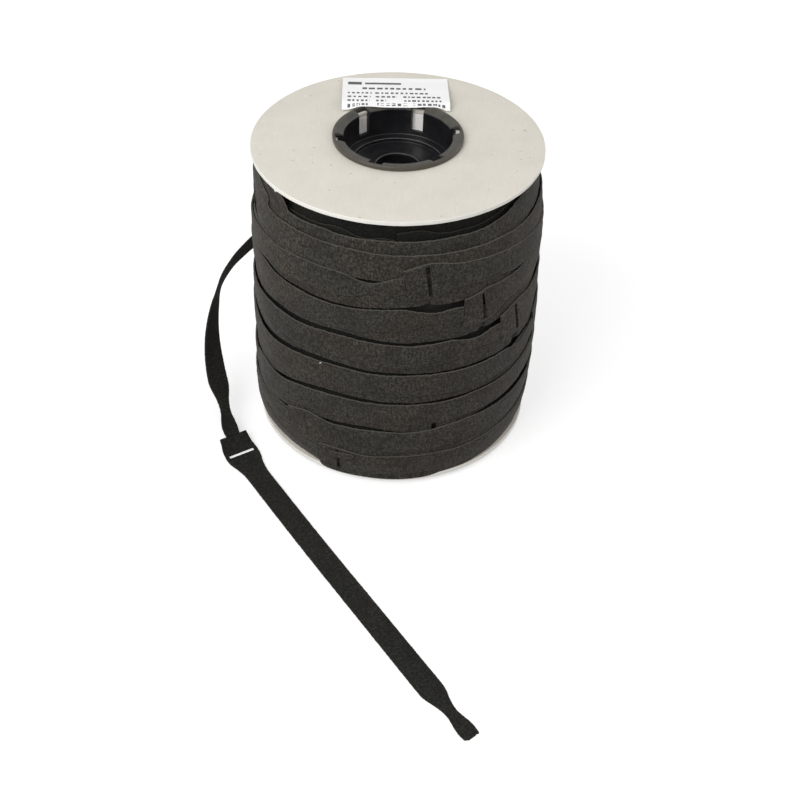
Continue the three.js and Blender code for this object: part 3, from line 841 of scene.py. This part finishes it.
def add_chain(straps, centre, heads, offset, lean, seed, slots=None, shares=width_share, low=None,
              slot_ends=(0.85, 0.85)):
    """slots gives the widths of the slots of some straps by their place in the chain."""
    point = wound(centre, offset, lean, seed, low=low)
    for n, (here, then) in enumerate(zip(heads, heads[1:])):
        length = math.radians(then - here) * WOUND_ARC
        slot = (SLOT_PLACE, slots[n], *slot_ends) if slots and n in slots else None
        straps.add(lambda s, w, h, start=here: point(s, w, h, start), 0.2, length - 0.2, length, WOUND_WIDTH,
                   0.37 * (n + 1) + seed, slot, seed=seed * 31 + n, step=1.6, shares=shares)


def chain_centre(degrees):
    return through(CHAIN, degrees) * UP


outer = Straps()
slot_widths = {n: 0.5 for n in range(13)}
slot_widths.update({8: 2.4, 10: 2.6, 12: 2.9})
add_chain(outer, chain_centre, CHAIN_HEADS, -0.45, 0.3, 21, slot_widths)


# Lowest turn: its head sits at the front left, over the flange.
def lowest_centre(degrees):
    return through([(-293, 16.4), (-200, 16.4), (-150, 16.6), (-132, 17), (-120, 15.6), (-111, 14.6),
                    (-100, 16.4), (-90, 18), (-78, 18.4), (-60, 18), (-40, 19), (-25, 20.5), (10, 22.5),
                    (60, 25.5)], degrees) * UP


def lowest_edge(degrees):
    """The foot of the winding laps over the flange's rim in front and stands clear of it on the left."""
    return through([(-300, 6.5), (-165, 6.6), (-146, 9), (-130, 8.8), (-120, 6), (-100, 5.4), (-84, 5.2),
                    (-70, 6), (-57, 6.8), (-40, 6.8), (70, 6.5)], degrees)


add_chain(outer, lowest_centre, [-292.7, -120.5, 57.7], -0.8, 0.3, 5, {1: 2.4}, low=lowest_edge,
          slot_ends=(0.5, 0.93))


def lay_on(degrees, height, rise, out):
    """A point function for a short bit that lies on the winding from the given place on."""
    def point(s, w, h):
        turn = np.radians(degrees + np.degrees(s / WOUND_ARC))
        up = height + rise * s + w
        radius = winding_radius(up) + out + h
        return np.stack([radius * np.cos(turn), radius * np.sin(turn), up], -1)
    return point


# The end of a tail tucked in over the lowest turn's slot, and a fleck of lint
outer.add(lay_on(-114.2, 22.9, 0.13, 1.5), 0, 16.5, 16.5, 4.6, 4.4,
          step=0.8, ragged=0.08, seed=9, thickness=1.0,
          shares=lambda share: np.interp(share, (0, 0.7, 0.86, 0.95, 1), (1, 0.9, 0.78, 0.5, 0.2)))
lint = Straps()
lint.add(lay_on(-119.1, 95.9, 0.6, 0.3), 0, 1.4, 1.4, 0.7, 0.5,
         step=0.4, ragged=0.06, seed=12, thickness=0.3,
         shares=lambda share: np.interp(share, (0, 0.4, 1), (0.7, 1, 0.3)))
lint_piece = lint.piece("lint_fleck", core_card)
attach(lint_piece, "reel")

outer_piece = outer.piece("outer_turns_cloth", wound_cloth)
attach(outer_piece, "reel")
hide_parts("outer_turns")


# Layer below: it shows as a strip under each turn and ends above the next one.
def second_centre(degrees):
    below = np.where(degrees < 417, lowest_centre(degrees - 360), chain_centre(degrees - 360))
    return below + (17.5 + through(GAPS, degrees)) * UP


def covered_shares(share):
    """Widths of the layer below, whose heads lie hidden under the turns above them."""
    return np.interp(share, (0, 0.05, 0.13, 0.85, 0.93, 1), (0.66, 0.69, 0.675, 0.667, 0.65, 0.66))


def dips(degrees, *places):
    """A layer lies deeper behind the open slots of the layer over it."""
    return sum(1.9 * np.exp(-((degrees - place) / 1.5) ** 2) for place in places)


def second_depth(degrees, w):
    return -1.85 - dips(degrees, 1405, 1746.5, 2083)


second = Straps()
second_heads = [638 + 170.7 * n for n in range(-3, 11)]
add_chain(second, second_centre, second_heads, second_depth, 0.1, 40, {3: 3.4}, covered_shares)


# The strip that fills the foot of the winding, over the lower flange
def foot_centre(degrees):
    return through([(-293, 16.5), (-150, 17.4), (-130, 17.4), (-118, 15), (0, 14.8), (67, 15)], degrees) * UP


add_chain(second, foot_centre, [-292, -112.5, 67], lambda degrees, w: -1.5 - dips(degrees, -111.5), 0.1, 46,
          shares=covered_shares, low=lowest_edge)


# Turns near the upper flange, from an earlier layer
def upper_centre(degrees):
    return through([(-204, 196), (-169, 195.5), (-162, 191), (-157, 186), (-154, 181), (-150, 178),
                    (-143, 176.8), (-132, 176.8), (-121, 176.6), (-110, 176.2), (-98, 175), (-83, 174.4),
                    (-68, 173.9), (-50, 173), (-31, 173), (0, 175), (40, 178), (120, 185), (170, 193),
                    (203, 196), (209, 195.6), (213, 193.4), (216.5, 189), (220.5, 185.2), (226, 183.8),
                    (241, 184), (249, 183), (265, 183.2), (275, 182.6), (288, 183), (311, 184),
                    (321, 186.6), (330, 190.5), (350, 194), (420, 194.5)], degrees) * UP - 1


def upper_depth(degrees, w):
    deep = through([(-200, -1.3), (0, -1.4), (120, -2.6), (420, -2.8)], degrees)
    return deep - dips(degrees, -77) * smooth((4 - w) / 3)


def upper_shares(share):
    return np.interp(share, (0, 0.05, 0.13, 0.85, 0.93, 1), (0.72, 0.76, 0.75, 0.745, 0.73, 0.72))


add_chain(second, upper_centre, [-196, -12, 160, 336, 420], upper_depth, 0.1, 60, shares=upper_shares)

second_piece = second.piece("second_layer_cloth", wound_cloth)
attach(second_piece, "reel")


# Older turns deep under the upper flange
def recess_centre(degrees):
    return through([(-262, 190), (-180, 187), (-135, 183), (-122, 183.5), (-112, 185.4), (-103, 185.2),
                    (-96, 184.4), (-89, 183.6), (-79, 183.4), (-66, 183.6), (-50, 184), (-40, 186),
                    (0, 190), (80, 194)],
                   degrees) * UP


def deepest_centre(degrees):
    return through([(-300, 193), (60, 196)], degrees) * UP


recess = Straps()
add_chain(recess, recess_centre, [-262, -90, 78], -7.6, 0.2, 70)
add_chain(recess, deepest_centre, [-300, -140, 30, 60], -9.6, 0.2, 76, shares=covered_shares)
# the turns under the upper flange take the darker cloth copy as painted shade
recess_piece = recess.piece("recess_cloth", painted_shade_cloth)
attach(recess_piece, "reel")


def make_inner():
    """The layers below, as ribs of cloth edges round the core."""
    heights = np.linspace(WINDING_LOW, WINDING_HIGH, 90)
    share = smooth((heights - 180) / 14)
    face = winding_radius(heights) - 4.4 - 7.4 * share + 0.2 * np.sin(heights * 2 * math.pi / 11.3)
    outline = [(CORE_BORE + CORE_WALL + 0.5, WINDING_HIGH), (CORE_BORE + CORE_WALL + 0.5, WINDING_LOW)]
    outline = np.array(outline + list(zip(face, heights)))
    segments = 240
    verts, faces = lathe(outline, segments)
    angles = np.arctan2(verts[:, 1], verts[:, 0])
    uv = np.stack([angles * 0.09, verts[:, 2] * MM], -1)
    edge = np.zeros(len(verts))
    # the inner layers take the darker cloth copy as painted shade
    return mesh_object("inner_windings_cloth", verts, faces, painted_shade_cloth, uv, edge, edge + 3.3)


inner_piece = make_inner()
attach(inner_piece, "reel")
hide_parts("inner_windings")


# Loose straps
def route_curve():
    """Dense points, widths' directions and lengths along the hanging strap's route."""
    radius = np.array([WINDING_EDGE + p[1] for p in ROUTE])
    angle = np.radians([p[0] for p in ROUTE])
    points = np.stack([radius * np.cos(angle), radius * np.sin(angle), np.array([p[2] for p in ROUTE])], -1)
    lean = np.array([p[3] for p in ROUTE], float)
    ends = np.concatenate([[2 * points[0] - points[1]], points, [2 * points[-1] - points[-2]]])
    places, leans = [], []
    for i in range(len(points) - 1):
        a, b, c, d = ends[i:i + 4]
        before, here, after = [np.linalg.norm(q - p) ** 0.5 for p, q in ((a, b), (b, c), (c, d))]
        first = ((b - a) / before - (c - a) / (before + here) + (c - b) / here) * here
        then = ((c - b) / here - (d - b) / (here + after) + (d - c) / after) * here
        for t in np.linspace(0, 1, 40, endpoint=False):
            places.append((2 * t**3 - 3 * t**2 + 1) * b + (t**3 - 2 * t**2 + t) * first
                          + (-2 * t**3 + 3 * t**2) * c + (t**3 - t**2) * then)
            leans.append(lean[i] + (lean[i + 1] - lean[i]) * t)
    places.append(points[-1])
    leans.append(lean[-1])
    places = np.array(places)
    gone = np.concatenate([[0], np.cumsum(np.linalg.norm(np.diff(places, axis=0), axis=1))])
    return places, np.radians(np.array(leans)), gone


HEADING = math.radians(-57.38)
ALONG = np.array([math.cos(HEADING), math.sin(HEADING), 0])
SIDE = np.array([-ALONG[1], ALONG[0], 0])


def make_hanging():
    places, leans, gone = route_curve()
    last = places[-1]
    along = np.gradient(places, gone, axis=0)
    along /= np.linalg.norm(along, axis=1)[:, None]
    up = np.array([0.0, 0.0, 1.0])
    upright = up - along * along[:, 2:3]
    upright /= np.linalg.norm(upright, axis=1)[:, None]
    level = np.cross(along, upright)
    kernel = np.hanning(41)
    kernel /= kernel.sum()
    leans = np.convolve(np.pad(leans, 20, mode="edge"), kernel, "valid")
    across = upright * np.cos(leans)[:, None] + level * np.sin(leans)[:, None]
    # it runs on to the tear line and turns square to the end strap there
    places = np.concatenate([places, [last + ALONG - (0, 0, 0.4)]])
    gone = np.append(gone, gone[-1] + 1.1)
    along, across = (np.concatenate([field, field[-1:]]) for field in (along, across))
    square = SIDE * np.sign(across[-1] @ SIDE)
    near = smooth((gone - gone[-1] + 8) / 8)[:, None]
    across = across * (1 - near) + square * near
    across /= np.linalg.norm(across, axis=1)[:, None]
    face = np.cross(along, across)
    face /= np.linalg.norm(face, axis=1)[:, None]
    total = gone[-1]

    def point(s, w, h):
        at = s / STRAP_LENGTH * total
        pick = [np.stack([np.interp(at, gone, field[:, k]) for k in range(3)], -1)
                for field in (places, across, face)]
        return pick[0] + pick[1] * w[..., None] + pick[2] * h[..., None]

    straps = Straps()
    straps.add(point, 0.3, STRAP_LENGTH - 0.1, STRAP_LENGTH, STRAP_WIDTH, 0.8,
               (SLOT_PLACE, 2.0, 0.78, 0.78), step=1.0, ragged=0.06, seed=2)
    return straps.piece("hanging_strap_cloth", loose_cloth), last


END_LIFT = 4.9            # of the end strap's head, where it meets the hanging strap
TAIL_SHORTER = 3          # the tail's tip lies there in the photograph's camera


def make_end(last):
    start = last + ALONG * 0.9
    start[2] = STRAP_THICKNESS / 2

    def point(s, w, h):
        near = np.clip(1 - s / 24, 0, 1)
        end = smooth((s - 250) / 50)
        bow = (-1.6 * np.sin(math.pi * s / STRAP_LENGTH) + 0.9 * end
               - 1.2 * smooth(s / 10) * (1 - smooth((s - 30) / 170)))
        lift = (END_LIFT * near**2
                + 0.25 * (1 - np.cos(s * 0.045)) * np.clip(s / 60, 0, 1) * np.abs(w / 12) ** 2)
        place = start + ALONG * (s - TAIL_SHORTER * end)[..., None] + SIDE * (bow + w)[..., None]
        place[..., 2] += lift + h
        return place

    straps = Straps()
    straps.add(point, 0.35, STRAP_LENGTH, STRAP_LENGTH, STRAP_WIDTH, 1.9, (15.8, 2.8, 0.78, 0.78), step=1.0,
               ragged=0.06, seed=3, tip=1.2)
    return straps.piece("end_strap_cloth", loose_cloth)


hanging, torn_end = make_hanging()
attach(hanging, "reel")
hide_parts("hanging_strap")
end_strap = make_end(torn_end)
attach(end_strap, "loose_strap")
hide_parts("end_strap")


# Floor and light
FLOOR_TONE = 0.6
FLOOR_GLOW = 0.56         # brings the floor up to white for the camera alone
WORLD_LIGHT = 0.59        # the camera alone sees the world as white


def make_floor():
    mesh = bpy.data.meshes.new("floor")
    size = 4.0
    corners = [(-size, -size, 0), (size, -size, 0), (size, size, 0), (-size, size, 0)]
    mesh.from_pydata(corners, [], [(0, 1, 2, 3)])
    floor = add_object("floor", mesh)
    paint = Paint("floor_white")
    tree = paint.tree
    tree.nodes.remove(paint.shader)
    diffuse = paint.node("ShaderNodeBsdfDiffuse")
    diffuse.inputs["Color"].default_value = (FLOOR_TONE, FLOOR_TONE, FLOOR_TONE, 1)
    glow = paint.node("ShaderNodeEmission")
    path = paint.node("ShaderNodeLightPath")
    paint.link(paint.math("MULTIPLY", path.outputs["Is Camera Ray"], FLOOR_GLOW), glow.inputs["Strength"])
    both = paint.node("ShaderNodeAddShader")
    paint.link(diffuse.outputs[0], both.inputs[0])
    paint.link(glow.outputs[0], both.inputs[1])
    paint.link(both.outputs[0], tree.nodes["Material Output"].inputs["Surface"])
    mesh.materials.append(paint.material)


def make_world():
    world = bpy.data.worlds.new("studio")
    bpy.context.scene.world = world
    world.use_nodes = True
    tree = world.node_tree
    background = tree.nodes["Background"]
    background.inputs["Color"].default_value = (1, 1, 1, 1)
    path = tree.nodes.new("ShaderNodeLightPath")
    seen = tree.nodes.new("ShaderNodeMath")
    seen.operation = "MULTIPLY_ADD"
    seen.inputs[1].default_value = 1 - WORLD_LIGHT
    seen.inputs[2].default_value = WORLD_LIGHT
    tree.links.new(path.outputs["Is Camera Ray"], seen.inputs[0])
    tree.links.new(seen.outputs[0], background.inputs["Strength"])


def add_light(name, place, target, size, power):
    data = bpy.data.lights.new(name, "AREA")
    data.shape = "RECTANGLE"
    data.size, data.size_y = size
    data.energy = power
    light = add_object(name, data)
    light.location = place
    light.rotation_euler = (Vector(target) - Vector(place)).to_track_quat("-Z", "Y").to_euler()


make_floor()
make_world()
add_light("key", (-0.76, -0.9, 1.15), (0, 0, 0.1), (1.1, 1.1), 14.5)
add_light("rim", (1.3, 0.5, 0.8), (0, 0, 0.1), (1.0, 1.0), 4.5)
bpy.context.scene.view_settings.view_transform = "Standard"
